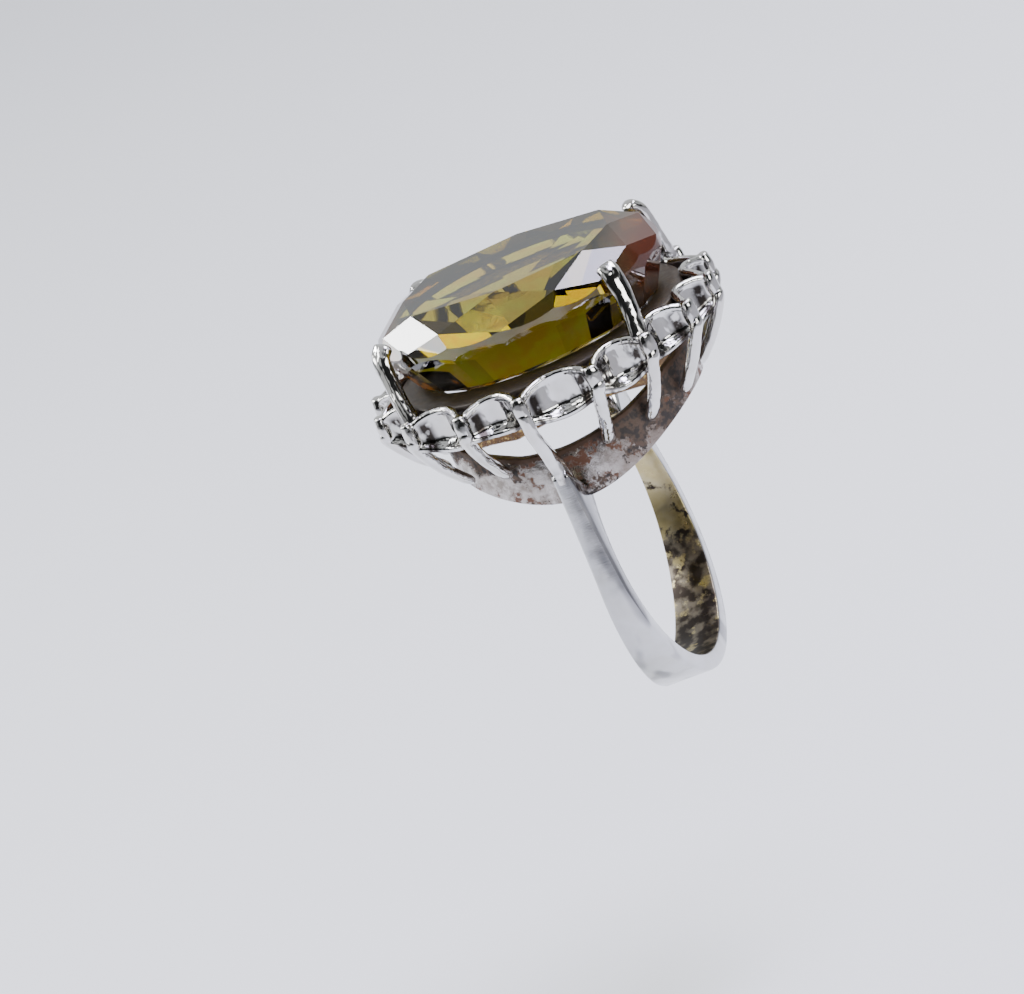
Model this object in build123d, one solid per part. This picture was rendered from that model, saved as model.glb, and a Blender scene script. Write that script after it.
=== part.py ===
from build123d import *
import os
from math import cos, radians, sin, sqrt

# A lady's cocktail ring: an oval faceted stone held by four claws above a ruffled collar. Sixteen
# struts drop from the collar to an oval base rail, which lies on the finger with the shank.
#
# Millimetres. The origin is the centre of the finger hole. +X runs along the finger, which is the
# long way of the oval, +Y runs across the finger and +Z points up through the stone's table.

# ---- driving dimensions -------------------------------------------------------------------------
FINGER_RADIUS = 9.0  # a US size 8 ring
SHANK_THICK = 1.15  # radial thickness round the lower half
SHANK_BOTTOM_HALF_WIDTH = 1.8
SHANK_SIDE_HALF_WIDTH = 0.95
SHANK_SHOULDER_HALF_WIDTH = 0.56
SHOULDER_TOP_Z = 8.8
SHOULDER_OUT_Y = 9.72  # outer face of the shank where it turns into the mid strut

RAIL_A = 8.98  # half length of the base rail's outer oval
RAIL_B = 6.77  # half width of it
RAIL_WALL = 0.65
RAIL_HEIGHT = 2.85  # measured outwards from the finger hole
RAIL_FAR_FOOT_Z = 7.6  # the lower edge of the +Y side is straight here, clear of the finger

STONE_A = 10.2  # half length of the girdle
STONE_B = 7.6  # half width of it
GIRDLE_TOP = 19.0
GIRDLE_HEIGHT = 0.9
TABLE_Z = 20.85
CULET_Z = 11.5
WAIST_SHARE = 0.83  # the pavilion's waist, under its steep upper facets, as a share of the girdle
WAIST_Z = 15.4

COLLAR_A = 12.1  # the oval through the outward folds of the collar
COLLAR_B = 10.75
COLLAR_TOP = 15.3  # top of the collar at a fold
COLLAR_WALL = 0.55
FLUTE_BOW = 1.7  # how far the middle of a flute lies inside the oval of the folds
FLUTE_RISE = 0.15  # how far its top edge arches above the folds
FLUTES = 16
COLLAR_FOOT = 13.5  # bottom of the collar at a fold
FLUTE_DROP = 0.7  # how far the middle of a flute reaches below that
LIP_CURL = 0.85  # how far the lower rim of a flute curls back outwards
FOLD_SHIFTS = {1: 2.5, 2: 0.6, 15: 1.4}  # degrees by which hand-bent folds miss their even places

STRUT_RADIUS = 0.48
STRUT_LEAN = -5  # the struts' feet are turned this many degrees round the oval
STRUT_KNEE_Z = 13.3
STRUT_FOOT_Z = 8.9
STRUT_FOOT_CLEAR = 0.27  # the least gap between a foot and the finger
WEB_TOP_Z = 11.8  # where the web between a mid side strut and the rail begins
WEB_HALF_THICK = 0.42
CLAW_RADIUS = 0.62
CLAW_TIP_ANGLES = {"near_right": 46, "near_left": 53, "far_right": 46, "far_left": 46}  # from mid side

SEAT_TOP = 15.3
SEAT_THICK = 0.7

# ---- sizes worked out from them -----------------------------------------------------------------
GIRDLE_BOTTOM = GIRDLE_TOP - GIRDLE_HEIGHT
FLUTE_ANGLE = 360 / FLUTES
SHANK_OUT = FINGER_RADIUS + SHANK_THICK
RAIL_OUT = FINGER_RADIUS + RAIL_HEIGHT


def oval_point(a, b, angle, z):
    """A point on an oval, at an angle counted from the -Y side towards +X."""
    return Vector(a * sin(radians(angle)), -b * cos(radians(angle)), z)


def oval_normal(a, b, angle):
    """The outward direction of that oval at the same angle."""
    return Vector(sin(radians(angle)) / a, -cos(radians(angle)) / b, 0).normalized()


# ---- stone --------------------------------------------------------------------------------------
# Where the kites at the middle of the side, at the corner and at the end meet the table.
TABLE_POINTS = {0: Vector(0, -5.09, TABLE_Z), 45: Vector(6.27, -3.60, TABLE_Z), 90: Vector(7.5, 0, TABLE_Z)}
CROWN_BREAK_Z = 19.9  # height of the points where two kites and a star meet
PAVILION_BREAK = 0.5  # how far out the pavilion's mains meet its lower facets
PAVILION_BREAK_DROP = 0.35


def cut_above(solid, facet):
    """Cut the solid along a facet's plane, given as a point and an outward direction."""
    point, out = facet
    return solid.split(Plane(origin=point, z_dir=out), keep=Keep.BOTTOM)


def cut_all_quarters(solid, facet):
    """The same cut in every quarter of the stone."""
    point, out = facet
    for sx in (1, -1):
        for sy in (1, -1):
            turned = [Vector(sx * v.X, sy * v.Y, v.Z) for v in (point, out)]
            solid = cut_above(solid, turned)
    return solid


def facet_through(first, second, third):
    """The facet through three points, facing away from the middle of the stone."""
    middle = Vector(0, 0, (GIRDLE_TOP + GIRDLE_BOTTOM) / 2)
    out = (second - first).cross(third - first).normalized()
    if (first - middle).dot(out) < 0:
        out = out * -1
    return first, out


def main_facet(a, b, angle, z, inner):
    """A kite or pavilion main: along an oval at this angle, and through a point further in."""
    foot = oval_point(a, b, angle, z)
    along = Vector(a * cos(radians(angle)), b * sin(radians(angle)), 0)
    return facet_through(foot, foot + along, inner)


def meeting_point(facet_a, facet_b, z):
    """The point at height z on the line where two facets meet."""
    (pa, na), (pb, nb) = facet_a, facet_b
    da = pa.dot(na) - na.Z * z
    db = pb.dot(nb) - nb.Z * z
    det = na.X * nb.Y - na.Y * nb.X
    return Vector((da * nb.Y - db * na.Y) / det, (na.X * db - nb.X * da) / det, z)


def crown_facets():
    """The crown facets of one quarter: kites, stars and upper girdle facets."""
    kites = {}
    for angle, point in TABLE_POINTS.items():
        kites[angle] = main_facet(STONE_A, STONE_B, angle, GIRDLE_TOP, point)
    facets = list(kites.values())
    for low, high in ((0, 45), (45, 90)):
        meet = meeting_point(kites[low], kites[high], CROWN_BREAK_Z)
        facets.append(facet_through(TABLE_POINTS[low], TABLE_POINTS[high], meet))
        for start in (low, low + 22.5):
            ends = [oval_point(STONE_A, STONE_B, start + step, GIRDLE_TOP) for step in (0, 22.5)]
            facets.append(facet_through(meet, *ends))
    return facets


def pavilion_facets():
    """The pavilion facets of one quarter: a steep row under the girdle, lower facets and mains."""
    culet = Vector(0, 0, CULET_Z)
    waist_a, waist_b = STONE_A * WAIST_SHARE, STONE_B * WAIST_SHARE
    facets = []
    for start in (0, 22.5, 45, 67.5):
        ends = [oval_point(STONE_A, STONE_B, start + step, GIRDLE_BOTTOM) for step in (0, 22.5)]
        facets.append(facet_through(oval_point(waist_a, waist_b, start + 11.25, WAIST_Z), *ends))
    mains = {angle: main_facet(waist_a, waist_b, angle, WAIST_Z, culet) for angle in (0, 45, 90)}
    break_z = CULET_Z + (WAIST_Z - CULET_Z) * PAVILION_BREAK - PAVILION_BREAK_DROP
    for low, high in ((0, 45), (45, 90)):
        meet = meeting_point(mains[low], mains[high], break_z)
        for start in (low, low + 22.5):
            ends = [oval_point(waist_a, waist_b, start + step, WAIST_Z) for step in (0, 22.5)]
            facets.append(facet_through(meet, *ends))
    return facets + list(mains.values())


def make_stone():
    blank = extrude(Ellipse(STONE_A, STONE_B), TABLE_Z - CULET_Z)
    stone = blank.moved(Location((0, 0, CULET_Z))).solid()
    for facet in crown_facets() + pavilion_facets():
        stone = cut_all_quarters(stone, facet)
    return stone


# ---- shank --------------------------------------------------------------------------------------
def make_shank():
    """The hoop: its outline seen along the finger, narrowed to its outline seen across the finger."""
    with BuildPart() as hoop:
        with BuildSketch(Plane.YZ) as side:
            Circle(SHANK_OUT)
            with BuildLine():
                Polyline(
                    (-SHANK_OUT, 0),
                    (-SHOULDER_OUT_Y, SHOULDER_TOP_Z),
                    (-RAIL_B - 0.1, SHOULDER_TOP_Z - 0.75),
                    (RAIL_B + 0.1, SHOULDER_TOP_Z - 0.75),
                    (SHOULDER_OUT_Y, SHOULDER_TOP_Z),
                    (SHANK_OUT, 0),
                    close=True,
                )
            make_face()
            Circle(FINGER_RADIUS, mode=Mode.SUBTRACT)
        extrude(amount=SHANK_BOTTOM_HALF_WIDTH, both=True)
        with BuildSketch(Plane.XZ) as front:
            with BuildLine():
                right = Spline(
                    (SHANK_BOTTOM_HALF_WIDTH, -SHANK_OUT),
                    (SHANK_SIDE_HALF_WIDTH, 0),
                    (SHANK_SHOULDER_HALF_WIDTH, SHOULDER_TOP_Z),
                )
                left = Spline(
                    (-SHANK_BOTTOM_HALF_WIDTH, -SHANK_OUT),
                    (-SHANK_SIDE_HALF_WIDTH, 0),
                    (-SHANK_SHOULDER_HALF_WIDTH, SHOULDER_TOP_Z),
                )
                Line(right @ 0, left @ 0)
                Line(right @ 1, left @ 1)
            make_face()
        extrude(amount=SHANK_OUT + 1, both=True, mode=Mode.INTERSECT)
    return hoop.part.solid() - rail_space()


# ---- base rail ----------------------------------------------------------------------------------
def finger_cylinder(radius):
    """A long cylinder round the finger's axis."""
    return Solid.make_cylinder(radius, 4 * RAIL_A, Plane(origin=(-2 * RAIL_A, 0, 0), z_dir=(1, 0, 0)))


def rail_space():
    """Everything inside the rail's outer oval, above the middle of the ring."""
    return extrude(Ellipse(RAIL_A, RAIL_B), TABLE_Z).solid()


def make_rail():
    """An upright oval strip between two cylinders about the finger, relieved along its far side."""
    wall = extrude(Ellipse(RAIL_A, RAIL_B), RAIL_OUT + 1) - extrude(
        Ellipse(RAIL_A - RAIL_WALL, RAIL_B - RAIL_WALL), RAIL_OUT + 1
    )
    rail = (wall & finger_cylinder(RAIL_OUT)) - finger_cylinder(FINGER_RADIUS)
    relief = Box(
        2 * RAIL_A, RAIL_B, RAIL_FAR_FOOT_Z, align=(Align.CENTER, Align.MIN, Align.MIN)
    )
    return (rail - relief).solid()


# ---- ruffle collar ------------------------------------------------------------------------------
def fold_angle(index):
    """Where fold number index of the ribbon stands, counted like the angle of an oval point."""
    return index * FLUTE_ANGLE + FOLD_SHIFTS.get(index % FLUTES, 0)


def collar_section(flute, share):
    """The collar's upright section part way across a flute: a strip whose lower rim curls outwards."""
    place = share * 2 - 1  # -1 and 1 at the folds, 0 in mid flute
    cup = 1 - place**2
    angle = fold_angle(flute) + (fold_angle(flute + 1) - fold_angle(flute)) * share
    base = oval_point(COLLAR_A, COLLAR_B, angle, 0)
    out = oval_normal(COLLAR_A, COLLAR_B, angle)
    top = COLLAR_TOP + FLUTE_RISE * cup
    foot = COLLAR_FOOT - FLUTE_DROP * cup
    # how far the strip's middle line lies inside the oval of the folds, from its top to its foot
    depths = (FLUTE_BOW * cup, (FLUTE_BOW + 0.12) * cup, FLUTE_BOW * cup, (FLUTE_BOW - LIP_CURL) * cup)
    heights = (top, top - (top - foot) * 0.35, top - (top - foot) * 0.7, foot)
    half = COLLAR_WALL / 2
    outer = [base - out * (d - half) + Vector(0, 0, z) for d, z in zip(depths, heights)]
    inner = [base - out * (d + half) + Vector(0, 0, z) for d, z in zip(depths, heights)]
    return Face(Wire(Polyline(*outer, *reversed(inner), close=True).edges()))


def make_collar():
    """One flute after another round the oval, joined at the folds."""
    steps = 6
    flutes = []
    for flute in range(FLUTES):
        sections = [collar_section(flute, i / steps) for i in range(steps + 1)]
        flutes.append(Solid.make_loft([s.outer_wire() for s in sections]))
    collar = flutes[0].fuse(*flutes[1:])
    return collar


# ---- seat ---------------------------------------------------------------------------------------
def make_seat(stone, collar):
    """The bearing: a flat oval ring inside the collar that the stone's pavilion rests in."""
    reach = FLUTE_BOW + 0.2
    outer = Ellipse(COLLAR_A - reach, COLLAR_B - reach)
    inner = Ellipse(STONE_A * WAIST_SHARE - 1, STONE_B * WAIST_SHARE - 1)
    ring = extrude(outer - inner, SEAT_THICK).moved(Location((0, 0, SEAT_TOP - SEAT_THICK)))
    return largest(ring - stone - collar)


# ---- struts and claws ---------------------------------------------------------------------------
def largest(shape):
    """The largest solid of a cut shape."""
    return max(shape.solids(), key=lambda solid: solid.volume)


def wire_along(points, radius, end_radius):
    """A round wire along a curve, with a ball at its free end."""
    path = Spline(*points)
    section = Plane(origin=path @ 0, z_dir=path % 0) * Circle(radius)
    wire = sweep(section, path=path).solid()
    ball = Sphere(end_radius).moved(Location(points[0]))
    return wire.fuse(ball.solid())


def make_web(side_y):
    """The thin web under a mid side strut, between it, the rail and the top of the shank."""
    with BuildPart() as web:
        with BuildSketch(Plane.YZ):
            with BuildLine():
                Polyline(
                    (side_y * (COLLAR_B - 0.55), WEB_TOP_Z),
                    (side_y * (RAIL_B + 0.1), RAIL_OUT * 0.81),
                    (side_y * (RAIL_B + 0.1), SHOULDER_TOP_Z - 1),
                    (side_y * (SHOULDER_OUT_Y - 0.1), SHOULDER_TOP_Z - 0.3),
                    close=True,
                )
            make_face()
        extrude(amount=WEB_HALF_THICK, both=True)
    return web.part.solid()


def make_strut(index):
    """Strut number index, from the fold of the collar down to the rail, or to the shank at mid side."""
    angle = fold_angle(index)
    top = oval_point(COLLAR_A + 0.4, COLLAR_B + 0.4, angle, COLLAR_TOP)
    if index % (FLUTES // 2) == 0:
        knee = oval_point(COLLAR_A, COLLAR_B + 0.2, angle, STRUT_KNEE_Z)
        foot = oval_point(COLLAR_A, SHOULDER_OUT_Y - 0.35, angle, SHOULDER_TOP_Z - 0.3)
        side_y = -1 if index == 0 else 1
        return wire_along([top, knee, foot], STRUT_RADIUS, STRUT_RADIUS * 1.1).fuse(make_web(side_y))
    knee = oval_point(COLLAR_A - 0.05, COLLAR_B - 0.25, angle + STRUT_LEAN * 0.25, STRUT_KNEE_Z)
    foot = oval_point(RAIL_A + 0.35, RAIL_B + 0.35, angle + STRUT_LEAN, STRUT_FOOT_Z)
    least_out = FINGER_RADIUS + STRUT_FOOT_CLEAR + STRUT_RADIUS
    foot.Z = max(foot.Z, sqrt(least_out**2 - foot.Y**2))
    return wire_along([top, knee, foot], STRUT_RADIUS, STRUT_RADIUS * 1.1)


def make_claw(side_x, side_y, tip_angle):
    """A claw from the collar's fold at one corner, over the edge of the stone."""
    corner = FLUTE_ANGLE * 2
    tip = oval_point(STONE_A + 0.85, STONE_B + 0.45, tip_angle, GIRDLE_TOP + 0.7)
    waist = oval_point(STONE_A + 1.6, STONE_B + 1.7, (corner + tip_angle) / 2, GIRDLE_BOTTOM - 0.6)
    root = oval_point(COLLAR_A - 0.5, COLLAR_B - 0.6, corner, COLLAR_TOP - 0.9)
    points = [Vector(side_x * p.X, side_y * -p.Y, p.Z) for p in (tip, waist, root)]
    return wire_along(points, CLAW_RADIUS, CLAW_RADIUS * 1.12)


# ---- write every piece --------------------------------------------------------------------------
def main():
    nodes = {"stone": make_stone(), "base_rail": make_rail(), "shank": make_shank()}
    collar = nodes["ruffle_collar"] = make_collar()
    nodes["seat_ring"] = make_seat(nodes["stone"], collar)
    corners = {"near_right": (1, -1), "near_left": (-1, -1), "far_right": (1, 1), "far_left": (-1, 1)}
    claws = []
    for name, (side_x, side_y) in corners.items():
        claw = make_claw(side_x, side_y, CLAW_TIP_ANGLES[name])
        nodes[f"claw_{name}"] = largest(claw - nodes["stone"] - collar)
        claws.append(f"claw_{name}")
    for index in range(FLUTES):
        strut = make_strut(index) - nodes["base_rail"] - nodes["shank"] - collar
        for name in claws:
            strut = strut - nodes[name]
        nodes[f"strut_{index + 1:02d}"] = largest(strut)
    os.makedirs("parts", exist_ok=True)
    for name, shape in nodes.items():
        export_step(shape, f"parts/{name}.step")
        print(name, len(shape.solids()), round(shape.volume, 3))


main()
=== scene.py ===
import math
import random

import bmesh
import bpy
from mathutils import Matrix, Vector, noise


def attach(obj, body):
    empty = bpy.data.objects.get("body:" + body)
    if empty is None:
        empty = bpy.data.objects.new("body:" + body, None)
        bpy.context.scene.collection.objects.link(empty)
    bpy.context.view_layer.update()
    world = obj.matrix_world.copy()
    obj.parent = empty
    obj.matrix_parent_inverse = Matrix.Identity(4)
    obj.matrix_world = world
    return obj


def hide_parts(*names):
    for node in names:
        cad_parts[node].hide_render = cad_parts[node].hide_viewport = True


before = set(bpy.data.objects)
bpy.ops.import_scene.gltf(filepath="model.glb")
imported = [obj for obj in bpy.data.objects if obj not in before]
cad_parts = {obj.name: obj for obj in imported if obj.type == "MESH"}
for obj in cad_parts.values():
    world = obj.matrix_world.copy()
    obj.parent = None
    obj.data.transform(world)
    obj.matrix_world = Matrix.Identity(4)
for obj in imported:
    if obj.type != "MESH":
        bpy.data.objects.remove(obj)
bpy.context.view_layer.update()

# The looks of the cocktail ring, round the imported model. Shapes are worked out in millimetres, in the
# frame of the CAD model: the origin is the middle of the finger hole, +X runs along the finger and
# +Z points up through the stone. MM turns them into Blender's metres.
MM = 0.001

# ---- sizes, in millimetres ----------------------------------------------------------------------
FINGER_RADIUS = 9.0
SHANK_OUT = 10.15
SHOULDER_TOP_Z = 8.8
SHOULDER_OUT_Y = 9.72
SHANK_WIDTHS = ((-10.15, 1.8), (0.0, 0.95), (8.8, 0.56))  # height, half width

RAIL_A, RAIL_B, RAIL_WALL, RAIL_OUT = 8.98, 6.77, 0.65, 11.85
RAIL_FAR_FOOT_Z = 7.6
RAIL_EDGE, SHANK_EDGE = 0.1, 0.16  # how far their edges are rounded

STONE_A, STONE_B = 10.2, 7.6
GIRDLE_TOP, GIRDLE_BOTTOM = 19.0, 18.1
TABLE_Z, CULET_Z = 20.85, 11.5
WAIST_SHARE, WAIST_Z = 0.83, 15.4
CROWN_BREAK_Z = 19.9
PAVILION_BREAK, PAVILION_BREAK_DROP = 0.5, 0.35
MAIN_STEP = 45  # degrees from one kite, or pavilion main, to the next
GIRDLE_STEP = MAIN_STEP / 2  # and from one girdle facet to the next

SEAT_A, SEAT_B = 10.25, 8.9
SEAT_FOOT, SEAT_TOP = 14.6, 15.3
SEAT_EDGE = 0.1

COLLAR_A, COLLAR_B = 12.1, 10.75
COLLAR_TOP, COLLAR_FOOT = 15.3, 13.55
COLLAR_WALL = 0.45
FLUTES = 16
FLUTE_ANGLE = 360 / FLUTES
FLUTE_BOW, FLUTE_RISE, FLUTE_DROP = 1.7, 0.15, 0.75
RIM_BEAD, LIP_BEAD = 0.27, 0.25  # radii of the rounded rims
RIM_DIP, LIP_DIP = 0.5, 0.1  # how far the rims dip at a fold
RIBBON_CELLS = 20  # sections of the ribbon to a flute
MELT_CELL = 0.08
FOLD_SHIFTS = {1: 2.5, 2: 0.6, 15: 1.4}  # folds that sit a little out of their even places, in degrees

STRUT_LEAN = -5
STRUT_KNEE_Z = 13.3
STRUT_FOOT_Z = 8.9
STRUT_FOOT_REACH = 9.75  # the feet stay this far from the finger's axis
# half width and half depth at each knot of a wire, from the top down
HEAD_SIZES = ((0.4, 0.3), (0.54, 0.4), (0.47, 0.36))
STRUT_SIZES = ((0.3, 0.2), (0.47, 0.4), (0.45, 0.42), (0.46, 0.4), (0.52, 0.36))
MID_STRUT_SIZES = ((0.3, 0.2), (0.47, 0.4), (0.45, 0.42), (0.47, 0.8), (0.58, 1.0), (0.62, 0.4))
CLAW_SIZES = ((0.66, 0.42), (0.74, 0.5), (0.62, 0.5), (0.66, 0.55))
WIRE_SQUARENESS = 0.92  # 1 is an ellipse, and less is nearer to a rounded box
WIRE_WOBBLE = 0.05
CLAW_TIP_ANGLES = {"near_right": 46, "near_left": 53, "far_right": 46, "far_left": 46}


# ---- helpers ------------------------------------------------------------------------------------
def oval_point(a, b, angle, z):
    """A point on an oval, at an angle counted from the -Y side towards +X."""
    turn = math.radians(angle)
    return Vector((a * math.sin(turn), -b * math.cos(turn), z))


def oval_normal(a, b, angle):
    """The outward direction of that oval at the same angle."""
    turn = math.radians(angle)
    return Vector((math.sin(turn) / a, -math.cos(turn) / b, 0)).normalized()


def clamp(value):
    """The value, held between 0 and 1."""
    return max(0.0, min(1.0, value))


def along_curve(knots, t, reach=0.02):
    """The direction from just before t to just after it, not yet of length 1."""
    return blend_points(knots, min(t + reach, 1)) - blend_points(knots, max(t - reach, 0))


def blend_points(knots, t):
    """A smooth curve through evenly spaced knots, for t from 0 to 1 (Catmull-Rom)."""
    spans = len(knots) - 1
    i = min(int(t * spans), spans - 1)
    f = t * spans - i
    p1, p2 = knots[i], knots[i + 1]
    p0 = knots[i - 1] if i else p1 * 2 - p2
    p3 = knots[i + 2] if i + 2 <= spans else p2 * 2 - p1
    return 0.5 * (2 * p1 + (p2 - p0) * f + (2 * p0 - 5 * p1 + 4 * p2 - p3) * f**2
                  + (3 * p1 - 3 * p2 + p3 - p0) * f**3)


def skin(rings, closed):
    """Points and faces over rings of equal length, closed into a loop or capped at both ends."""
    count, total = len(rings[0]), len(rings)
    faces = []
    for i in range(total if closed else total - 1):
        here, there = i * count, (i + 1) % total * count
        for j in range(count):
            k = (j + 1) % count
            faces.append((here + j, here + k, there + k, there + j))
    if not closed:
        faces.append(tuple(range(count)))
        faces.append(tuple(range((total - 1) * count, total * count)))
    return [p for ring in rings for p in ring], faces


def make_object(name, points, faces):
    """A mesh object in metres from points in millimetres, with its faces turned outwards."""
    mesh = bpy.data.meshes.new(name)
    mesh.from_pydata([tuple(p * MM) for p in points], [], faces)
    bm = bmesh.new()
    bm.from_mesh(mesh)
    bmesh.ops.recalc_face_normals(bm, faces=bm.faces)
    bm.to_mesh(mesh)
    bm.free()
    obj = bpy.data.objects.new(name, mesh)
    bpy.context.scene.collection.objects.link(obj)
    return obj


def bake_modifiers(obj):
    """Apply the object's modifiers to its mesh."""
    graph = bpy.context.evaluated_depsgraph_get()
    mesh = bpy.data.meshes.new_from_object(obj.evaluated_get(graph))
    obj.modifiers.clear()
    obj.data = mesh
    return obj


def finish_piece(obj, material, nodes, smooth=True):
    """Give a piece its material and tell the frame which CAD nodes it stands for."""
    obj.data.materials.clear()
    obj.data.materials.append(material)
    for polygon in obj.data.polygons:
        polygon.use_smooth = smooth
    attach(obj, "root")
    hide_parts(*nodes)
    return obj


def store(obj, name, value_at):
    """Store a number on every point, worked out from its place in millimetres."""
    layer = obj.data.attributes.new(name, "FLOAT", "POINT")
    for vertex in obj.data.vertices:
        layer.data[vertex.index].value = value_at(vertex.co / MM)


def wobble(point, size, seed):
    """A small smooth hand-made unevenness, the same for the same place and seed in every run."""
    place = point * 0.9 + Vector((seed, seed * 0.7, seed * 1.3))
    # three separate noises, because noise_vector differs from one run of Blender to the next
    return size * Vector([noise.noise(place + Vector((shift, 0, 0))) for shift in (0, 17, 41)])


# ---- materials ----------------------------------------------------------------------------------
class Nodes:
    """A material's node tree, with short ways to add and join nodes."""

    def __init__(self, name):
        self.material = bpy.data.materials.new(name)
        self.material.use_nodes = True
        self.tree = self.material.node_tree
        self.shader = self.tree.nodes["Principled BSDF"]

    def add(self, kind, **settings):
        node = self.tree.nodes.new(kind)
        for key, value in settings.items():
            setattr(node, key, value)
        return node

    def link(self, source, target):
        self.tree.links.new(source, target)

    def place(self, stretch=(1, 1, 1)):
        """The place on the object, in millimetres, stretched."""
        where = self.add("ShaderNodeTexCoord").outputs["Object"]
        scale = self.add("ShaderNodeVectorMath", operation="MULTIPLY")
        scale.inputs[1].default_value = [v / MM for v in stretch]
        self.link(where, scale.inputs[0])
        return scale.outputs[0]

    def noise(self, scale, detail=4, stretch=(1, 1, 1), rough=0.5):
        """Noise with about scale features to the millimetre."""
        node = self.add("ShaderNodeTexNoise")
        node.inputs["Scale"].default_value = scale
        node.inputs["Detail"].default_value = detail
        node.inputs["Roughness"].default_value = rough
        self.link(self.place(stretch), node.inputs["Vector"])
        return node.outputs["Fac"]

    def attribute(self, name):
        return self.add("ShaderNodeAttribute", attribute_name=name).outputs["Fac"]

    def math(self, operation, first, second, clamp=False):
        node = self.add("ShaderNodeMath", operation=operation, use_clamp=clamp)
        for socket, value in zip(node.inputs, (first, second)):
            if isinstance(value, (int, float)):
                socket.default_value = value
            else:
                self.link(value, socket)
        return node.outputs[0]

    def ramp(self, value, low, high, at_low=0.0, at_high=1.0):
        """Map a value from low..high to at_low..at_high, smoothly and clamped."""
        node = self.add("ShaderNodeMapRange", interpolation_type="SMOOTHSTEP")
        limits = {"From Min": low, "From Max": high, "To Min": at_low, "To Max": at_high}
        for key, number in limits.items():
            node.inputs[key].default_value = number
        self.link(value, node.inputs["Value"])
        return node.outputs["Result"]

    def mix(self, share, first, second):
        """A colour between two colours or sockets."""
        node = self.add("ShaderNodeMix", data_type="RGBA")
        self.link(share, node.inputs["Factor"])
        for socket, value in zip((node.inputs[6], node.inputs[7]), (first, second)):
            if isinstance(value, tuple):
                socket.default_value = (*value, 1)
            else:
                self.link(value, socket)
        return node.outputs[2]

    def bump(self, *layers):
        """Stack bumps, each a (height socket, depth in millimetres) pair."""
        normal = None
        for height, depth in layers:
            node = self.add("ShaderNodeBump")
            node.inputs["Strength"].default_value = 1
            node.inputs["Distance"].default_value = depth * MM
            self.link(height, node.inputs["Height"])
            if normal:
                self.link(normal, node.inputs["Normal"])
            normal = node.outputs["Normal"]
        self.link(normal, self.shader.inputs["Normal"])


# the third colour, near-black, is tarnish and painted shade in the polished silver's hollows
BRIGHT, WARM_BRIGHT, TARNISH_AND_SHADE = (0.68, 0.675, 0.665), (0.60, 0.585, 0.56), (0.04, 0.034, 0.03)
# the third shank colour is painted reflection: grey streaks for dark surroundings mirrored in the
# polish
SHANK_COOL, SHANK_WARM, SHANK_PAINTED_REFLECTION = (0.56, 0.565, 0.58), (0.50, 0.495, 0.49), (0.24, 0.24, 0.25)
YELLOWED, PALE_YELLOWED = (0.43, 0.36, 0.18), (0.50, 0.44, 0.28)
SOOT, GREY_SOOT, BROWN_SOOT = (0.035, 0.028, 0.024), (0.19, 0.165, 0.13), (0.10, 0.065, 0.045)
RUST, BROWN_EDGE = (0.13, 0.058, 0.032), (0.075, 0.042, 0.025)
CAST_PALE, CAST_GREY, CAST_BROWN = (0.46, 0.435, 0.41), (0.22, 0.195, 0.17), (0.20, 0.165, 0.14)
OLIVE, AMBER, RED = (0.76, 0.86, 0.42), (0.80, 0.64, 0.32), (0.55, 0.13, 0.06)
GEM_DEPTH_COLOR, GEM_DENSITY, GEM_IOR = (0.71, 0.67, 0.20, 1), 400, 1.74


def polished_silver():
    """Hand-polished silver: wavy, finely scratched, with a trace of tarnish and painted shade in its
    hollows.
    """
    n = Nodes("polished_silver")
    cloud = n.noise(1.3, 5)
    hollow = n.attribute("hollow")
    # tarnish and painted shade: the hollow mask, broken into clouds, darkens recesses towards
    # near-black
    tarnish_and_shade = n.math("MULTIPLY", hollow, n.ramp(cloud, 0.36, 0.50), clamp=True)
    color = n.mix(n.ramp(n.noise(0.7, 3), 0.3, 0.7), BRIGHT, WARM_BRIGHT)
    color = n.mix(tarnish_and_shade, color, TARNISH_AND_SHADE)
    n.link(color, n.shader.inputs["Base Color"])
    n.shader.inputs["Metallic"].default_value = 1
    worn = n.ramp(n.noise(2.2, 5), 0.3, 0.75, 0.04, 0.12)
    n.link(n.math("ADD", worn, n.math("MULTIPLY", tarnish_and_shade, 0.15)), n.shader.inputs["Roughness"])
    n.bump((n.noise(1.3, 2, (1, 1, 0.4)), 0.11), (n.noise(7, 3, (1, 1, 0.2)), 0.003))
    return n.material


def shank_silver():
    """The shank: bright outside with painted streaks of dark reflection, yellowed inside with dark
    patches towards the bottom.
    """
    n = Nodes("shank_silver")
    inside = n.attribute("inside")
    low = n.attribute("low")
    color = n.mix(n.ramp(n.noise(0.5, 3), 0.3, 0.7), SHANK_COOL, SHANK_WARM)
    # painted reflection: grey streaks, drawn out up and down, over the polished outside
    painted_reflection_streak = n.ramp(n.noise(0.4, 2, (1, 1, 0.3)), 0.52, 0.66)
    color = n.mix(painted_reflection_streak, color, SHANK_PAINTED_REFLECTION)
    gold = n.mix(n.ramp(n.noise(0.8, 5), 0.35, 0.7), YELLOWED, PALE_YELLOWED)
    patch = n.math("ADD", n.noise(0.75, 6, rough=0.6), n.math("MULTIPLY", low, 0.32))
    dirt = n.mix(n.ramp(n.noise(1.1, 4), 0.42, 0.62), SOOT, GREY_SOOT)
    gold = n.mix(n.ramp(patch, 0.69, 0.77), gold, dirt)
    n.link(n.mix(inside, color, gold), n.shader.inputs["Base Color"])
    n.shader.inputs["Metallic"].default_value = 1
    worn = n.ramp(n.noise(1.5, 5), 0.3, 0.75, 0.07, 0.2)
    n.link(n.math("ADD", worn, n.math("MULTIPLY", inside, 0.2)), n.shader.inputs["Roughness"])
    n.bump((n.noise(0.35, 1), 0.05), (n.noise(9, 3, (0.2, 1, 1)), 0.0012))
    return n.material


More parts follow.
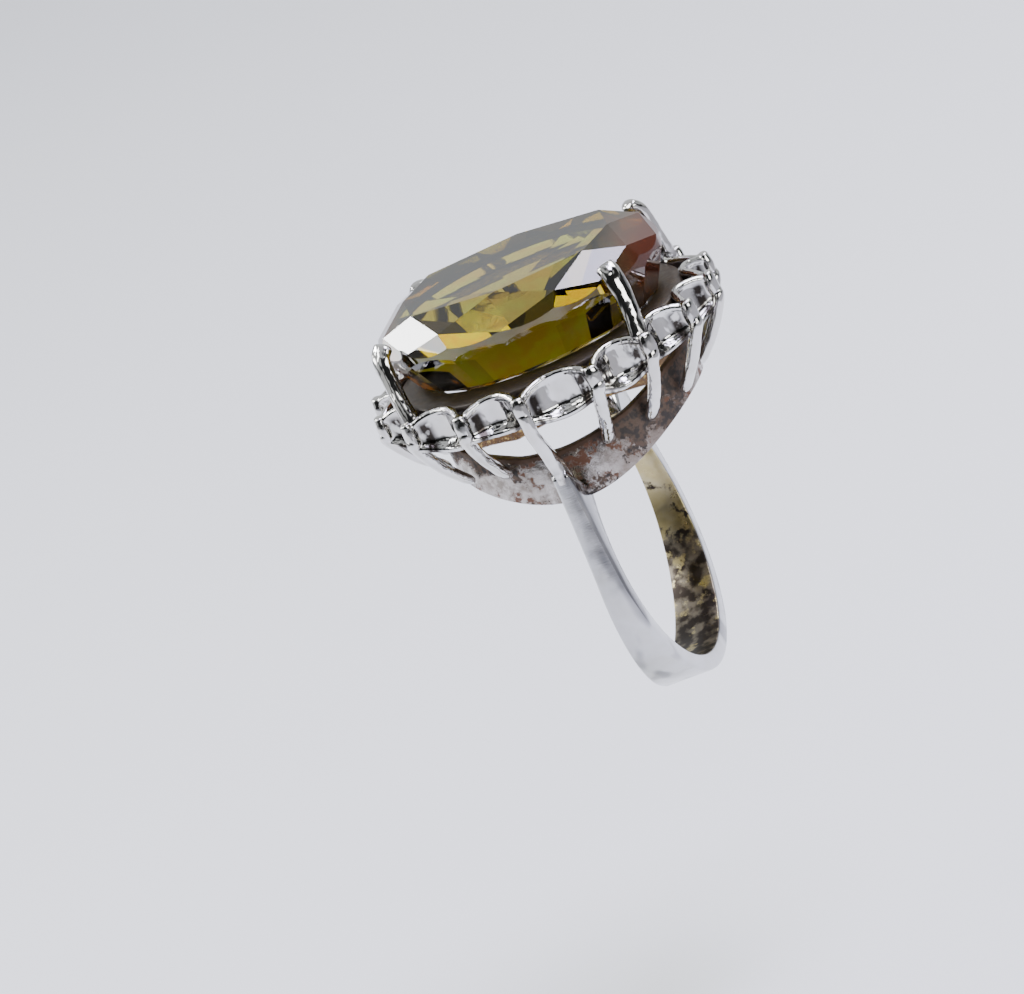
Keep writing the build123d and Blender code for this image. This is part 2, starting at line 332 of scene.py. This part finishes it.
def oxidised_silver(name, brown, gold):
    """Grey metal under soot-black and rust-brown patches, brown with traces of gold inside."""
    n = Nodes(name)
    top, inside, sooty = n.attribute("top"), n.attribute("inside"), n.attribute("sooty")
    fine = n.math("MULTIPLY", n.noise(5.5, 6, rough=0.7), 0.35)
    metal = n.mix(n.ramp(n.noise(1.6, 6, rough=0.65), 0.38, 0.62), CAST_PALE, CAST_GREY)
    metal = n.mix(n.math("MULTIPLY", sooty, 0.95, clamp=True), metal, CAST_BROWN)
    rust = n.math("ADD", n.noise(0.8, 6, rough=0.6), n.math("MULTIPLY", top, 0.09))
    rust = n.ramp(n.math("ADD", rust, fine), 0.73, 0.80)
    color = n.mix(rust, metal, RUST)
    dirt = n.math("ADD", n.noise(0.5, 7, rough=0.62), n.math("MULTIPLY", sooty, 0.15))
    dirt = n.math("ADD", n.math("ADD", dirt, n.math("MULTIPLY", top, 0.17)), fine)
    soot = n.ramp(dirt, 0.79, 0.84)
    color = n.mix(soot, color, n.mix(n.ramp(n.noise(2.6, 4), 0.4, 0.62), SOOT, BROWN_SOOT))
    brown_edge = n.ramp(n.math("ADD", top, n.math("MULTIPLY", fine, 0.6)), 0.93, 1.03)
    color = n.mix(brown_edge, color, BROWN_EDGE)
    # inside colour: tarnish on the rail; on the seat, near-black painted shade
    tarnish_and_shade = n.mix(n.ramp(n.noise(2.3, 6, rough=0.65), 0.50, 0.62), brown, gold)
    color = n.mix(inside, color, tarnish_and_shade)
    n.link(color, n.shader.inputs["Base Color"])
    dull = n.math("MAXIMUM", soot, n.math("MAXIMUM", brown_edge, rust))
    n.link(n.ramp(dull, 0, 1, 1.0, 0.35), n.shader.inputs["Metallic"])
    n.link(n.ramp(dull, 0, 1, 0.27, 0.5), n.shader.inputs["Roughness"])
    n.bump((n.noise(0.9, 3), 0.05), (n.noise(5, 6, rough=0.7), 0.02))
    return n.material


def gem():
    """The stone: clear olive that turns brown with depth and red at both ends."""
    n = Nodes("gem")
    place = n.add("ShaderNodeSeparateXYZ")
    n.link(n.place(), place.inputs[0])
    ends = n.ramp(n.math("ABSOLUTE", place.outputs["X"], 0), 6.0, 9.8)
    color = n.mix(n.ramp(n.noise(0.35, 2), 0.44, 0.56), OLIVE, AMBER)
    n.link(n.mix(ends, color, RED), n.shader.inputs["Base Color"])
    n.shader.inputs["Roughness"].default_value = 0.0
    n.shader.inputs["IOR"].default_value = GEM_IOR
    n.link(n.ramp(ends, 0, 1, 1.0, 0.91), n.shader.inputs["Transmission Weight"])
    depth = n.add("ShaderNodeVolumeAbsorption")
    depth.inputs["Color"].default_value = GEM_DEPTH_COLOR
    depth.inputs["Density"].default_value = GEM_DENSITY
    n.link(depth.outputs[0], n.tree.nodes["Material Output"].inputs["Volume"])
    return n.material


# ---- stone --------------------------------------------------------------------------------------
# the corners of the table in one quarter of the stone, by the angle of their kites
TABLE_POINTS = {0: Vector((0, -5.09, TABLE_Z)),
                MAIN_STEP: Vector((6.27, -3.60, TABLE_Z)),
                2 * MAIN_STEP: Vector((7.5, 0, TABLE_Z))}
NEIGHBOURS = ((0, MAIN_STEP), (MAIN_STEP, 2 * MAIN_STEP))


def facet_through(first, second, third):
    """The facet through three points, as a point and an outward direction."""
    middle = Vector((0, 0, (GIRDLE_TOP + GIRDLE_BOTTOM) / 2))
    out = (second - first).cross(third - first).normalized()
    if (first - middle).dot(out) < 0:
        out = -out
    return first, out


def main_facet(a, b, angle, z, inner):
    """A kite or pavilion main: along an oval at this angle, and through a point further in."""
    foot = oval_point(a, b, angle, z)
    along = Vector((a * math.cos(math.radians(angle)), b * math.sin(math.radians(angle)), 0))
    return facet_through(foot, foot + along, inner)


def meeting_point(facet_a, facet_b, z):
    """The point at height z on the line where two facets meet."""
    (pa, na), (pb, nb) = facet_a, facet_b
    da, db = pa.dot(na) - na.z * z, pb.dot(nb) - nb.z * z
    det = na.x * nb.y - na.y * nb.x
    return Vector(((da * nb.y - db * na.y) / det, (na.x * db - nb.x * da) / det, z))


def facets_round(mains, a, b, z, meet_z):
    """The two girdle facets on each side of every meeting point of neighbouring mains."""
    facets = []
    for low, high in NEIGHBOURS:
        meet = meeting_point(mains[low], mains[high], meet_z)
        for start in (low, low + GIRDLE_STEP):
            first, second = oval_point(a, b, start, z), oval_point(a, b, start + GIRDLE_STEP, z)
            facets.append(facet_through(meet, first, second))
    return facets


def crown_facets():
    """The kites, stars and upper girdle facets of one quarter."""
    kites = {}
    for angle, point in TABLE_POINTS.items():
        kites[angle] = main_facet(STONE_A, STONE_B, angle, GIRDLE_TOP, point)
    stars = []
    for low, high in NEIGHBOURS:
        meet = meeting_point(kites[low], kites[high], CROWN_BREAK_Z)
        stars.append(facet_through(TABLE_POINTS[low], TABLE_POINTS[high], meet))
    girdle = facets_round(kites, STONE_A, STONE_B, GIRDLE_TOP, CROWN_BREAK_Z)
    return list(kites.values()) + stars + girdle


def pavilion_facets():
    """The steep upper band and the two steps of mains under it, for one quarter."""
    culet = Vector((0, 0, CULET_Z))
    waist_a, waist_b = STONE_A * WAIST_SHARE, STONE_B * WAIST_SHARE
    facets = []
    for count in range(4):
        start, end = count * GIRDLE_STEP, (count + 1) * GIRDLE_STEP
        foot = oval_point(waist_a, waist_b, (start + end) / 2, WAIST_Z)
        first, second = (oval_point(STONE_A, STONE_B, angle, GIRDLE_BOTTOM) for angle in (start, end))
        facets.append(facet_through(foot, first, second))
    mains = {angle: main_facet(waist_a, waist_b, angle, WAIST_Z, culet) for angle in TABLE_POINTS}
    break_z = CULET_Z + (WAIST_Z - CULET_Z) * PAVILION_BREAK - PAVILION_BREAK_DROP
    return facets + facets_round(mains, waist_a, waist_b, WAIST_Z, break_z) + list(mains.values())


def cut_facet(bm, point, out):
    """Cut away what lies outside a plane, and close the cut."""
    cut = bmesh.ops.bisect_plane(bm, geom=bm.verts[:] + bm.edges[:] + bm.faces[:], dist=1e-8,
                                 plane_co=point, plane_no=out, clear_outer=True)
    edges = [e for e in cut["geom_cut"] if isinstance(e, bmesh.types.BMEdge) and e.is_boundary]
    if edges:
        bmesh.ops.edgenet_fill(bm, edges=edges)


def make_stone(material):
    """An oval cylinder cut along every facet in all four quarters."""
    steps = 192
    rings = []
    for z in (CULET_Z, TABLE_Z):
        rings.append([oval_point(STONE_A, STONE_B, 360 * i / steps, z) for i in range(steps)])
    obj = make_object("gem_stone", *skin(rings, closed=False))
    bm = bmesh.new()
    bm.from_mesh(obj.data)
    for point, out in crown_facets() + pavilion_facets():
        for turn in (Vector((sx, sy, 1)) for sx in (1, -1) for sy in (1, -1)):
            cut_facet(bm, point * turn * MM, out * turn)
    bmesh.ops.remove_doubles(bm, verts=bm.verts[:], dist=1e-7)
    bmesh.ops.recalc_face_normals(bm, faces=bm.faces[:])
    bm.to_mesh(obj.data)
    bm.free()
    return finish_piece(obj, material, ["stone"], smooth=False)


# ---- shank --------------------------------------------------------------------------------------
def shank_half_width(z):
    """Half the shank's width at a height, on the parabola through the three stated widths."""
    (z0, w0), (z1, w1), (z2, w2) = SHANK_WIDTHS
    bottom = w0 * (z - z1) * (z - z2) / ((z0 - z1) * (z0 - z2))
    side = w1 * (z - z0) * (z - z2) / ((z1 - z0) * (z1 - z2))
    shoulder = w2 * (z - z0) * (z - z1) / ((z2 - z0) * (z2 - z1))
    return bottom + side + shoulder


def shank_outer_radius(angle):
    """How far the shank reaches from the finger's axis, at an angle counted up from the bottom."""
    if abs(angle) <= 90:
        return SHANK_OUT
    # the straight shoulder from the middle of the ring up to the mid strut
    y_dir, z_dir = math.sin(math.radians(abs(angle))), -math.cos(math.radians(angle))
    slope = (SHANK_OUT - SHOULDER_OUT_Y) / SHOULDER_TOP_Z
    return SHANK_OUT / (y_dir + slope * z_dir)


def make_shank(material):
    """The hoop, section by section from one shoulder round to the other.

    Both ends are cut along a radius. The one at +Y stands free, below the raised foot of the rail.
    """
    top_angle = 180 - math.degrees(math.asin((RAIL_B - 0.25) / FINGER_RADIUS))
    steps = 150
    rings = []
    for i in range(steps + 1):
        angle = top_angle * (2 * i / steps - 1)
        out = Vector((0, math.sin(math.radians(angle)), -math.cos(math.radians(angle))))
        r_out = shank_outer_radius(angle)
        ring = []
        corners = ((FINGER_RADIUS, -1), (r_out, -1), (r_out, 1), (FINGER_RADIUS, 1))
        for radius, side in corners:
            half = shank_half_width((out * radius).z)
            soft = SHANK_EDGE if radius == r_out else SHANK_EDGE / 2
            inward = 1 if radius == FINGER_RADIUS else -1
            pair = [(radius + inward * soft, half),
                    (radius + inward * soft * 0.3, half - soft * 0.3),
                    (radius, half - soft)]
            first_is_side = (radius == r_out) == (side < 0)
            for r, w in (pair if first_is_side else reversed(pair)):
                ring.append(out * r + Vector((side * w, 0, 0)))
        rings.append(ring)
    obj = make_object("shank_hoop", *skin(rings, closed=False))
    store(obj, "inside", lambda p: 1.0 if math.hypot(p.y, p.z) < FINGER_RADIUS + 0.07 else 0.0)
    store(obj, "low", lambda p: clamp((2 - p.z) / 8))
    return finish_piece(obj, material, ["shank"])


# ---- base rail ----------------------------------------------------------------------------------
def make_rail(material):
    """An upright oval strip with softened edges, whose outer face ends at the finger.

    Its foot is level across the wall, so the inner face reaches up to 0.4 mm into the finger hole.
    """
    steps, edge = 240, RAIL_EDGE
    bevel = edge * 0.3
    rings = []
    for i in range(steps):
        angle = 360 * i / steps
        out = oval_normal(RAIL_A, RAIL_B, angle)
        base = oval_point(RAIL_A, RAIL_B, angle, 0)
        uneven = noise.noise(base * 0.5) * 0.1
        low = math.sqrt(FINGER_RADIUS**2 - base.y**2) + 0.01
        if base.y > 0:
            low = max(low, RAIL_FAR_FOOT_Z)
        high = math.sqrt(RAIL_OUT**2 - base.y**2) - 0.05 + uneven
        inner = -RAIL_WALL
        middle = (low + high) / 2
        profile = [(0, low + edge), (0, middle), (0, high - edge), (-bevel, high - bevel),
                   (-edge, high), (inner + edge, high), (inner, high - edge), (inner, middle),
                   (inner, low + edge), (inner + edge, low), (-edge, low), (-bevel, low + bevel)]
        rings.append([base + out * o + Vector((0, 0, z)) for o, z in profile])
    obj = make_object("base_rail_strip", *skin(rings, closed=True))

    def inside(p):
        return 1.0 if (p.x / (RAIL_A - 0.6)) ** 2 + (p.y / (RAIL_B - 0.6)) ** 2 < 1 else 0.0

    store(obj, "inside", inside)
    store(obj, "top", lambda p: clamp((math.hypot(p.y, p.z) - 10.2) / 1.4))

    def sooty(p):
        # darker under the struts, and most of all at the near right
        angle = math.degrees(math.atan2(p.x / RAIL_A, -p.y / RAIL_B))
        near_right = math.exp(-((angle - 48) / 26) ** 2)
        return near_right + 0.35 * math.cos(math.radians(angle * FLUTES / 2)) ** 2

    store(obj, "sooty", sooty)
    return finish_piece(obj, material, ["base_rail"])


def make_seat(material):
    """The bearing inside the collar: a ring painted near-black as shade under the stone, that ends 0.1
    mm from the pavilion.
    """
    steps = 96
    section = ((7.5, 5.35, SEAT_FOOT),
               (SEAT_A - SEAT_EDGE, SEAT_B - SEAT_EDGE, SEAT_FOOT),
               (SEAT_A, SEAT_B, SEAT_FOOT + SEAT_EDGE),
               (SEAT_A, SEAT_B, SEAT_TOP - SEAT_EDGE),
               (SEAT_A - SEAT_EDGE, SEAT_B - SEAT_EDGE, SEAT_TOP),
               (8.5, 6.35, SEAT_TOP),
               (8.42, 6.27, SEAT_TOP - 0.08))
    rings = [[oval_point(a, b, 360 * i / steps, z) for a, b, z in section] for i in range(steps)]
    obj = make_object("seat_bearing", *skin(rings, closed=True))
    # every point takes the inside colour, which on the seat is near-black painted shade
    for name in ("inside", "top", "sooty"):
        store(obj, name, lambda p: 1.0)
    return finish_piece(obj, material, ["seat_ring"])


# ---- wires --------------------------------------------------------------------------------------
def wire_rings(knots, sizes, facing, seed, steps=40, sides=16):
    """Sections of a wire through knots. sizes are (half width, half depth); facing is outwards."""
    rings = []
    widths = [Vector((width, depth, 0)) for width, depth in sizes]
    for i in range(steps + 1):
        t = i / steps
        here = blend_points(knots, t)
        here = here + wobble(here, WIRE_WOBBLE, seed)
        ahead = along_curve(knots, t).normalized()
        side = ahead.cross(facing).normalized()
        depth = side.cross(ahead).normalized()
        size = blend_points(widths, t)
        # both ends are rounded over the last three steps
        end = min(min(t, 1 - t) * steps / 3, 1)
        close = max(math.sqrt(1 - (1 - end) ** 2), 0.12)
        ring = []
        for j in range(sides):
            turn = 2 * math.pi * j / sides
            across = math.copysign(abs(math.cos(turn)) ** WIRE_SQUARENESS, math.cos(turn))
            out = math.copysign(abs(math.sin(turn)) ** WIRE_SQUARENESS, math.sin(turn))
            ring.append(here + (side * across * size.x + depth * out * size.y) * close)
        rings.append(ring)
    return rings


# ---- ruffle collar ------------------------------------------------------------------------------
def fold_angle(index):
    """Where a fold of the ribbon, and the strut on it, stands."""
    return index * FLUTE_ANGLE + FOLD_SHIFTS.get(index % FLUTES, 0)


def flute_shape(index):
    """A flute's own bow, rise and drop: the ribbon was bent by hand."""
    shape = random.Random(100 + index)
    bow = FLUTE_BOW * shape.uniform(0.94, 1.04)
    rise = FLUTE_RISE * shape.uniform(0.2, 1.4)
    drop = FLUTE_DROP * shape.uniform(0.6, 1.3)
    return bow, rise, drop


def ribbon_line(index, place):
    """The line down the middle of the ribbon, top to foot, at a place from -1 to 1 across a flute."""
    bow, rise, drop = flute_shape(index)
    cup = 1 - abs(place) ** 2.1
    angle = fold_angle(index) + (fold_angle(index + 1) - fold_angle(index)) * (place + 1) / 2
    base = oval_point(COLLAR_A, COLLAR_B, angle, 0)
    out = oval_normal(COLLAR_A, COLLAR_B, angle)
    top, foot = COLLAR_TOP + rise * cup, COLLAR_FOOT - drop * cup
    tall = top - foot
    line = ((bow, top), (bow + 0.03, top - 0.4 * tall), (bow + 0.03, foot + 0.2 * tall),
            (bow - 0.5, foot))
    return [base - out * inward * cup + Vector((0, 0, z)) for inward, z in line], out


def ribbon_ring(index, place):
    """The ribbon's closed outline at that place."""
    line, out = ribbon_line(index, place)
    outer, inner = [], []
    for i in range(9):
        t = i / 8
        ahead = along_curve(line, t)
        across = (out * -ahead.z + Vector((0, 0, ahead.dot(out)))).normalized() * COLLAR_WALL / 2
        outer.append(blend_points(line, t) + across)
        inner.append(blend_points(line, t) - across)
    return outer + inner[::-1]


def bead_ring(middle, ahead, radius, sides=10):
    """A round section of a bead at a point of its path."""
    side = ahead.cross(Vector((0, 0, 1))).normalized()
    up = side.cross(ahead).normalized()
    turns = [2 * math.pi * j / sides for j in range(sides)]
    return [middle + (side * math.cos(a) + up * math.sin(a)) * radius for a in turns]


def rim(spots, end, radius, dip):
    """A round bead along one end of the ribbon, dipping at the folds."""
    path = []
    for index, place in spots:
        line, out = ribbon_line(index, place)
        path.append(line[end] + out * 0.05 - Vector((0, 0, dip * abs(place) ** 5)))
    rings = []
    for i, middle in enumerate(path):
        ahead = (path[(i + 1) % len(path)] - path[i - 1]).normalized()
        rings.append(bead_ring(middle, ahead, radius))
    return skin(rings, closed=True)


def strut_head(index):
    """The head of a strut, where it runs into the fold."""
    angle = fold_angle(index)
    heights = (COLLAR_TOP + 0.1, COLLAR_TOP - 0.7, COLLAR_TOP - 1.7)
    knots = [oval_point(COLLAR_A + 0.08, COLLAR_B + 0.08, angle, z) for z in heights]
    out = oval_normal(COLLAR_A, COLLAR_B, angle)
    return skin(wire_rings(knots, HEAD_SIZES, out, index), closed=False)


def make_collar(material):
    """The fluted ribbon, its rounded rims and the heads of the struts, melted together as if cast."""
    spots = [(index, 2 * k / RIBBON_CELLS - 1) for index in range(FLUTES) for k in range(RIBBON_CELLS)]
    parts = [skin([ribbon_ring(*spot) for spot in spots], closed=True),
             rim(spots, 0, RIM_BEAD, RIM_DIP),
             rim(spots, -1, LIP_BEAD, LIP_DIP)]
    parts += [strut_head(index) for index in range(FLUTES)]
    points, faces = [], []
    for part_points, part_faces in parts:
        faces += [tuple(k + len(points) for k in face) for face in part_faces]
        points += part_points
    obj = make_object("collar_ruffle", points, faces)
    melt = obj.modifiers.new("melt", "REMESH")
    melt.mode = "VOXEL"
    melt.voxel_size = MELT_CELL * MM
    soften = obj.modifiers.new("soften", "SMOOTH")
    soften.iterations = 5
    soften.factor = 0.5
    bake_modifiers(obj)

    folds = [oval_point(COLLAR_A, COLLAR_B, fold_angle(index), 0) for index in range(FLUTES)]

    def hollow(p):
        # painted shade, with some tarnish, darkens both sides of a fold
        gap = min(math.hypot(p.x - fold.x, p.y - fold.y) for fold in folds)
        beside = min((gap - 0.5) * 3, (1.7 - gap) * 2.5)
        return clamp(beside) * clamp((COLLAR_TOP - 0.1 - p.z) * 2.5)

    store(obj, "hollow", hollow)
    return finish_piece(obj, material, ["ruffle_collar"])


# ---- struts and claws ---------------------------------------------------------------------------
def make_strut(index, material):
    """One strut, forked out of the collar's fold: down to 0.2 mm from the rail, or into the shank."""
    angle = fold_angle(index)
    out = oval_normal(COLLAR_A, COLLAR_B, angle)
    top = oval_point(COLLAR_A - 0.02, COLLAR_B - 0.02, angle, COLLAR_TOP - 0.6)
    neck = oval_point(COLLAR_A + 0.13, COLLAR_B + 0.13, angle, COLLAR_TOP - 1.4)
    if index % (FLUTES // 2) == 0:
        # the mid side struts deepen, 1 mm short of the rail, and run on over the shank's shoulder
        knee = oval_point(COLLAR_A, COLLAR_B - 0.1, angle, 12.3)
        low = oval_point(COLLAR_A, SHOULDER_OUT_Y - 0.3, angle, SHOULDER_TOP_Z + 1.2)
        foot = oval_point(COLLAR_A, SHOULDER_OUT_Y - 0.93, angle, SHOULDER_TOP_Z - 0.5)
        end = oval_point(COLLAR_A, SHOULDER_OUT_Y - 0.28, angle, SHOULDER_TOP_Z - 2)
        knots, sizes = [top, neck, knee, low, foot, end], MID_STRUT_SIZES
    else:
        knee = oval_point(COLLAR_A - 0.02, COLLAR_B - 0.22, angle + STRUT_LEAN * 0.25, STRUT_KNEE_Z)
        foot = oval_point(RAIL_A + 0.22, RAIL_B + 0.22, angle + STRUT_LEAN, STRUT_FOOT_Z)
        foot.z = max(foot.z, math.sqrt(STRUT_FOOT_REACH**2 - foot.y**2))
        low = (knee + foot) / 2 + out * 0.25
        knots, sizes = [top, neck, knee, low, foot], STRUT_SIZES
    rings = wire_rings(knots, sizes, out, index + 1)
    obj = make_object(f"strut_wire_{index + 1:02d}", *skin(rings, closed=False))
    # painted shade with some tarnish: the hollow mask grows towards the strut's foot by the rail
    store(obj, "hollow", lambda p: clamp((9.8 - p.z) * 0.5))
    return finish_piece(obj, material, [f"strut_{index + 1:02d}"])


def make_claw(name, side_x, side_y, material):
    """A claw: a flat round-tipped wire from the fold up over the stone's edge, 0.35 mm off it."""
    corner, tip_angle = FLUTE_ANGLE * 2, CLAW_TIP_ANGLES[name]
    turn = Vector((side_x, -side_y, 1))
    tip = oval_point(STONE_A + 0.35, STONE_B, tip_angle, GIRDLE_TOP + 1.0) * turn
    bend = oval_point(STONE_A + 1.0, STONE_B + 0.75, tip_angle, GIRDLE_TOP + 0.15) * turn
    between = (corner + tip_angle) / 2
    waist = oval_point(STONE_A + 1.4, STONE_B + 1.4, between, GIRDLE_BOTTOM - 1.0) * turn
    root = oval_point(COLLAR_A - 0.5, COLLAR_B - 0.6, corner, COLLAR_TOP - 0.6) * turn
    out = oval_normal(STONE_A, STONE_B, corner) * turn
    seed = 31 + side_x + 2 * side_y
    rings = wire_rings([tip, bend, waist, root], CLAW_SIZES, out, seed)
    obj = make_object(f"claw_wire_{name}", *skin(rings, closed=False))
    # painted shade with some tarnish: the hollow mask grows down the claw towards the collar
    store(obj, "hollow", lambda p: clamp((16.5 - p.z) * 0.6))
    return finish_piece(obj, material, [f"claw_{name}"])


# ---- the ring -----------------------------------------------------------------------------------
CLAWS = (("near_right", 1, -1), ("near_left", -1, -1), ("far_right", 1, 1), ("far_left", -1, 1))


def build_ring():
    """Every piece, with its material."""
    silver, shank = polished_silver(), shank_silver()
    dark = oxidised_silver("oxidised_silver", (0.11, 0.065, 0.035), (0.38, 0.26, 0.09))
    # the seat's near-black brown and gold are painted shade under the stone
    seat = oxidised_silver("seat_painted_shade", (0.022, 0.015, 0.009), (0.034, 0.024, 0.011))
    make_stone(gem())
    make_shank(shank)
    make_rail(dark)
    make_collar(silver)
    for index in range(FLUTES):
        make_strut(index, silver)
    for name, side_x, side_y in CLAWS:
        make_claw(name, side_x, side_y, silver)
    make_seat(seat)


# ---- stage --------------------------------------------------------------------------------------
CAMERA_AZIMUTH = 18.2  # degrees from the -Y side towards +X
CAMERA_ELEVATION = 17.8
CAMERA_ROLL = 26.3
CAMERA_DISTANCE = 620
CAMERA_TARGET = Vector((-6.6, -0.3, 5.6))
CAMERA_LENS = 329
FLOOR_DROP = 22  # how far the floor lies below the ring
FLOOR_HALF = 900
# pale and cool are the floor's painted pool of light; grey is painted shade beyond it
FLOOR_PALE, FLOOR_COOL, FLOOR_PAINTED_SHADE = (0.70, 0.72, 0.76), (0.73, 0.745, 0.78), (0.22, 0.223, 0.23)
LIGHTS_AIM = Vector((0, 0, 12))
# name, azimuth, elevation, distance, width and height, watts, colour
SOFTBOXES = (
    ("overhead_softbox", 88, 66, 340, (230, 150), 1.9, (0.78, 0.75, 1.0)),
    ("back_softbox", 128, 48, 420, (300, 150), 1.7, (1, 1, 1)),
    ("left_softbox", -75, 40, 420, (100, 300), 1.0, (1, 1, 1)),
    ("kite_softbox", -108, 35, 450, (90, 90), 1.1, (1, 1, 1)),
    ("low_right_softbox", 50, 8, 420, (270, 100), 0.7, (1, 1, 1)),
    ("low_left_softbox", -106, 8, 420, (150, 80), 0.35, (1, 1, 1)),
    ("front_softbox", 30, 42, 500, (120, 60), 0.15, (1, 1, 1)),
)


def direction(azimuth, elevation):
    """The direction at an azimuth from the -Y side towards +X, and an elevation, in degrees."""
    az, el = math.radians(azimuth), math.radians(elevation)
    return Vector((math.sin(az) * math.cos(el), -math.cos(az) * math.cos(el), math.sin(el)))


def camera_axes():
    """Right, up and back directions of the camera."""
    az, roll = math.radians(CAMERA_AZIMUTH), math.radians(CAMERA_ROLL)
    back = direction(CAMERA_AZIMUTH, CAMERA_ELEVATION)
    right = Vector((math.cos(az), math.sin(az), 0))
    up = back.cross(right)
    rolled_right = right * math.cos(roll) - up * math.sin(roll)
    rolled_up = up * math.cos(roll) + right * math.sin(roll)
    return rolled_right, rolled_up, back


def make_camera():
    """The camera at the photograph's angle."""
    right, up, back = camera_axes()
    data = bpy.data.cameras.new("camera")
    data.lens = CAMERA_LENS
    data.sensor_width = 36
    data.clip_start = 0.01
    camera = bpy.data.objects.new("camera", data)
    place = (CAMERA_TARGET + back * CAMERA_DISTANCE) * MM
    turn = Matrix((right, up, back)).transposed().to_4x4()
    camera.matrix_world = Matrix.Translation(place) @ turn
    bpy.context.scene.collection.objects.link(camera)
    bpy.context.scene.camera = camera


def make_floor():
    """A floor painted pale round the ring as a pool of light. It turns greyer away from the view, as
    painted shade, which gives the silver its contrast.
    """
    half, z = FLOOR_HALF, -SHANK_OUT - FLOOR_DROP
    corners = [Vector((-half, -half, z)), Vector((half, -half, z)),
               Vector((half, half, z)), Vector((-half, half, z))]
    floor = make_object("floor", corners, [(0, 1, 2, 3)])
    n = Nodes("floor_painted_light")
    place = n.add("ShaderNodeSeparateXYZ")
    n.link(n.place(), place.inputs[0])
    x, y = place.outputs["X"], place.outputs["Y"]
    # painted light: a pale pool on the floor round the ring, painted grey beyond as shade
    pale = n.math("MULTIPLY", n.ramp(x, 55, 85, 1, 0), n.ramp(x, -300, -240))
    pale = n.math("MULTIPLY", pale, n.ramp(y, -200, -165))
    pale = n.math("MULTIPLY", pale, n.ramp(y, 420, 520, 1, 0))
    near = n.mix(n.noise(0.02, 2), FLOOR_PALE, FLOOR_COOL)
    n.link(n.mix(pale, FLOOR_PAINTED_SHADE, near), n.shader.inputs["Base Color"])
    n.shader.inputs["Roughness"].default_value = 0.7
    floor.data.materials.append(n.material)


def area_light(name, azimuth, elevation, distance, size, power, color):
    """A softbox facing the ring."""
    data = bpy.data.lights.new(name, "AREA")
    data.shape = "RECTANGLE"
    data.size, data.size_y = size[0] * MM, size[1] * MM
    data.energy = power
    data.color = color
    light = bpy.data.objects.new(name, data)
    away = direction(azimuth, elevation)
    place = Matrix.Translation((LIGHTS_AIM + away * distance) * MM)
    light.matrix_world = place @ away.to_track_quat("Z", "Y").to_matrix().to_4x4()
    bpy.context.scene.collection.objects.link(light)


def make_world():
    """The studio round the ring: pale behind it, mostly dark on the camera's side."""
    world = bpy.data.worlds.new("studio")
    bpy.context.scene.world = world
    world.use_nodes = True
    tree = world.node_tree

    def add(kind, **settings):
        node = tree.nodes.new(kind)
        for key, value in settings.items():
            setattr(node, key, value)
        return node

    where = add("ShaderNodeTexCoord").outputs["Generated"]
    shapes = add("ShaderNodeTexNoise")
    shapes.inputs["Scale"].default_value = 2.4
    shapes.inputs["Detail"].default_value = 1
    tree.links.new(where, shapes.inputs["Vector"])
    facing = add("ShaderNodeVectorMath", operation="DOT_PRODUCT")
    facing.inputs[1].default_value = (-0.08, 0.24, 0.10)  # paler to the back and overhead
    tree.links.new(where, facing.inputs[0])
    total = add("ShaderNodeMath", operation="ADD")
    tree.links.new(shapes.outputs["Fac"], total.inputs[0])
    tree.links.new(facing.outputs["Value"], total.inputs[1])
    ramp = add("ShaderNodeValToRGB")
    tree.links.new(total.outputs[0], ramp.inputs["Fac"])
    stops = ((0.0, 0.015), (0.48, 0.03), (0.53, 0.55), (0.75, 0.9))
    while len(ramp.color_ramp.elements) < len(stops):
        ramp.color_ramp.elements.new(0.5)
    for element, (at, level) in zip(ramp.color_ramp.elements, stops):
        element.position = at
        element.color = (level * 0.95, level * 0.975, level, 1)
    back = tree.nodes["Background"]
    tree.links.new(ramp.outputs["Color"], back.inputs["Color"])
    back.inputs["Strength"].default_value = 1.0


def build_stage():
    """Camera, floor, surroundings and lights."""
    make_camera()
    make_floor()
    make_world()
    for softbox in SOFTBOXES:
        area_light(*softbox)


build_ring()
build_stage()
